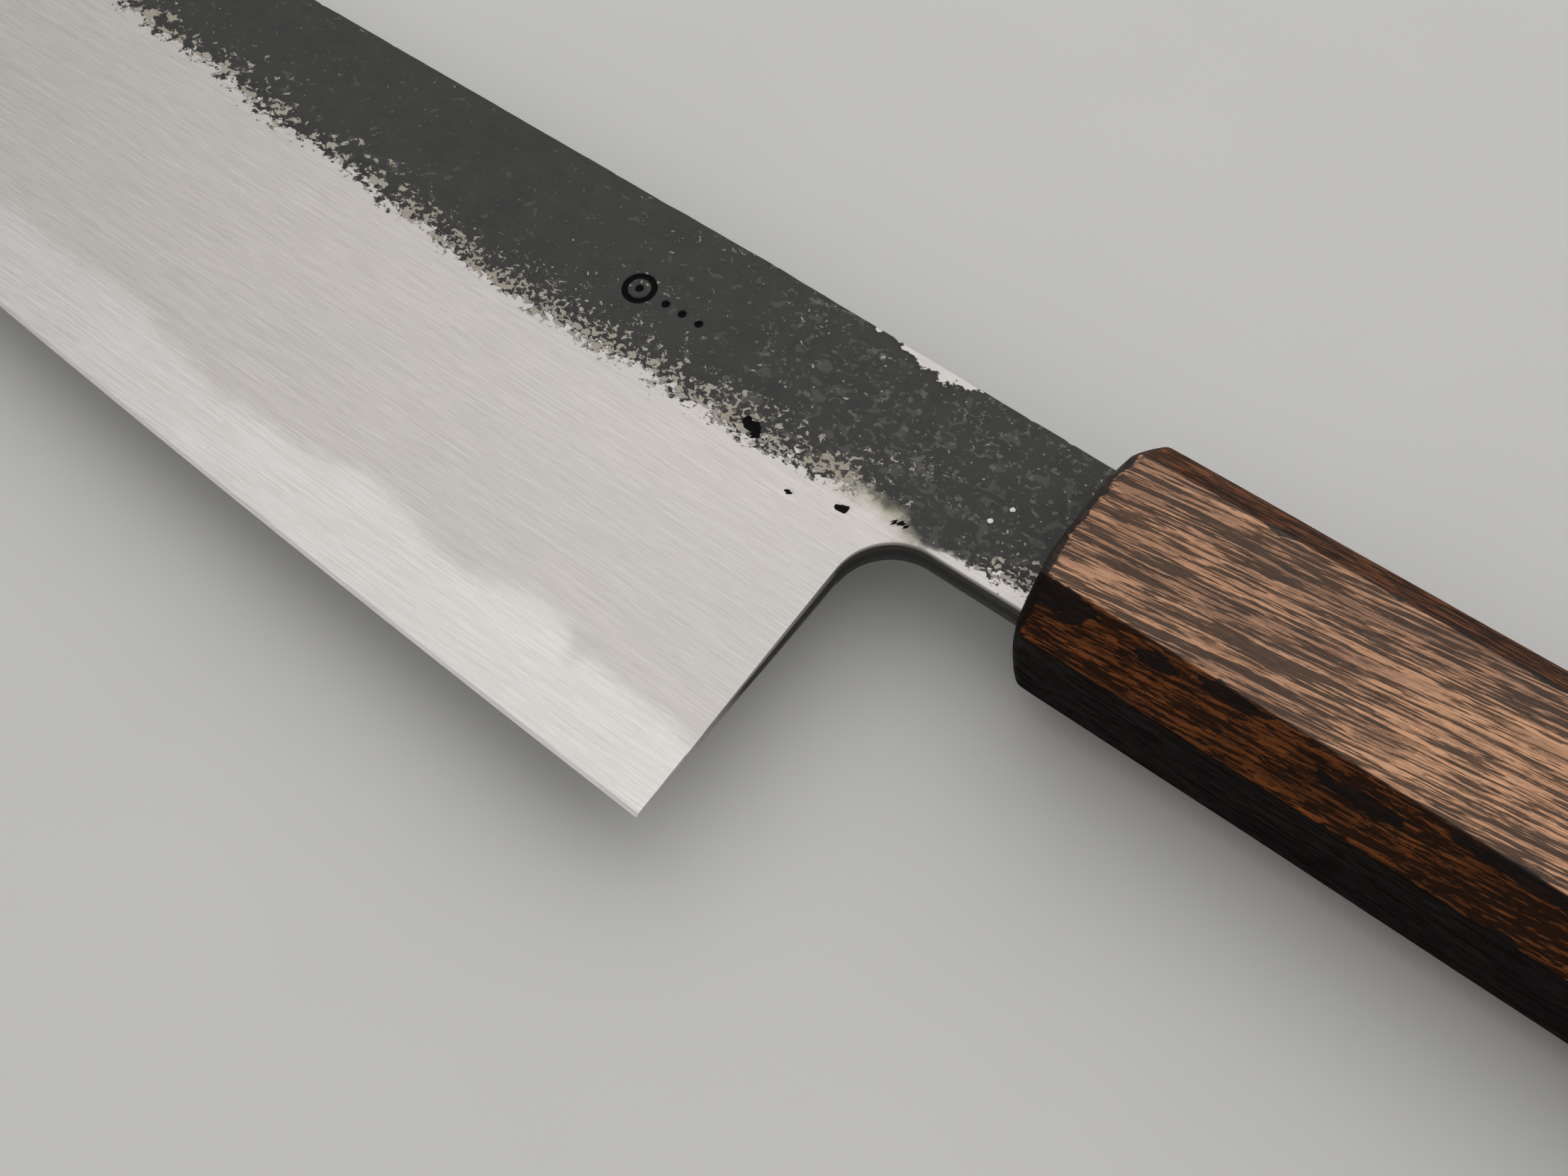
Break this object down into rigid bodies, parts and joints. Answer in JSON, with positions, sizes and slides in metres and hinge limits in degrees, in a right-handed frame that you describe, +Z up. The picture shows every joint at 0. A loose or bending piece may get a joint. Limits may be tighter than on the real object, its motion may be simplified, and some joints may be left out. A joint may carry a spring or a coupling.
{
  "type": "chef knife",
  "caption": "Japanese style chef's knife with a forged, layered steel blade, dark forge scale near the spine and an octagonal one-piece wooden handle.",
  "frame": {"origin": "bottom centre of the knife's box, with the knife lying on its side on the table", "axes": "+X from the point to the butt of the handle, +Y from the edge to the spine, +Z up out of the marked side of the blade"},
  "size_m": [0.3982, 0.0555, 0.0212],
  "materials": {
    "core_steel": "hard carbon steel, ground and satin polished along the blade",
    "cladding_iron": "soft iron: dark forge scale near the spine, ground bright satin below it",
    "burnt_wood": "burnt and oiled open-grained hardwood, brown with black pores, satin",
    "seal_resin": "black resin, semi-gloss",
    "adhesive": "cured epoxy, hidden in the handle"
  },
  "bodies": {
    "root": {"core_steel": "core_steel", "cladding_left": "cladding_iron", "cladding_right": "cladding_iron", "handle_body": "burnt_wood", "neck_seal": "seal_resin", "tang_adhesive": "adhesive"}
  },
  "joints": []
}
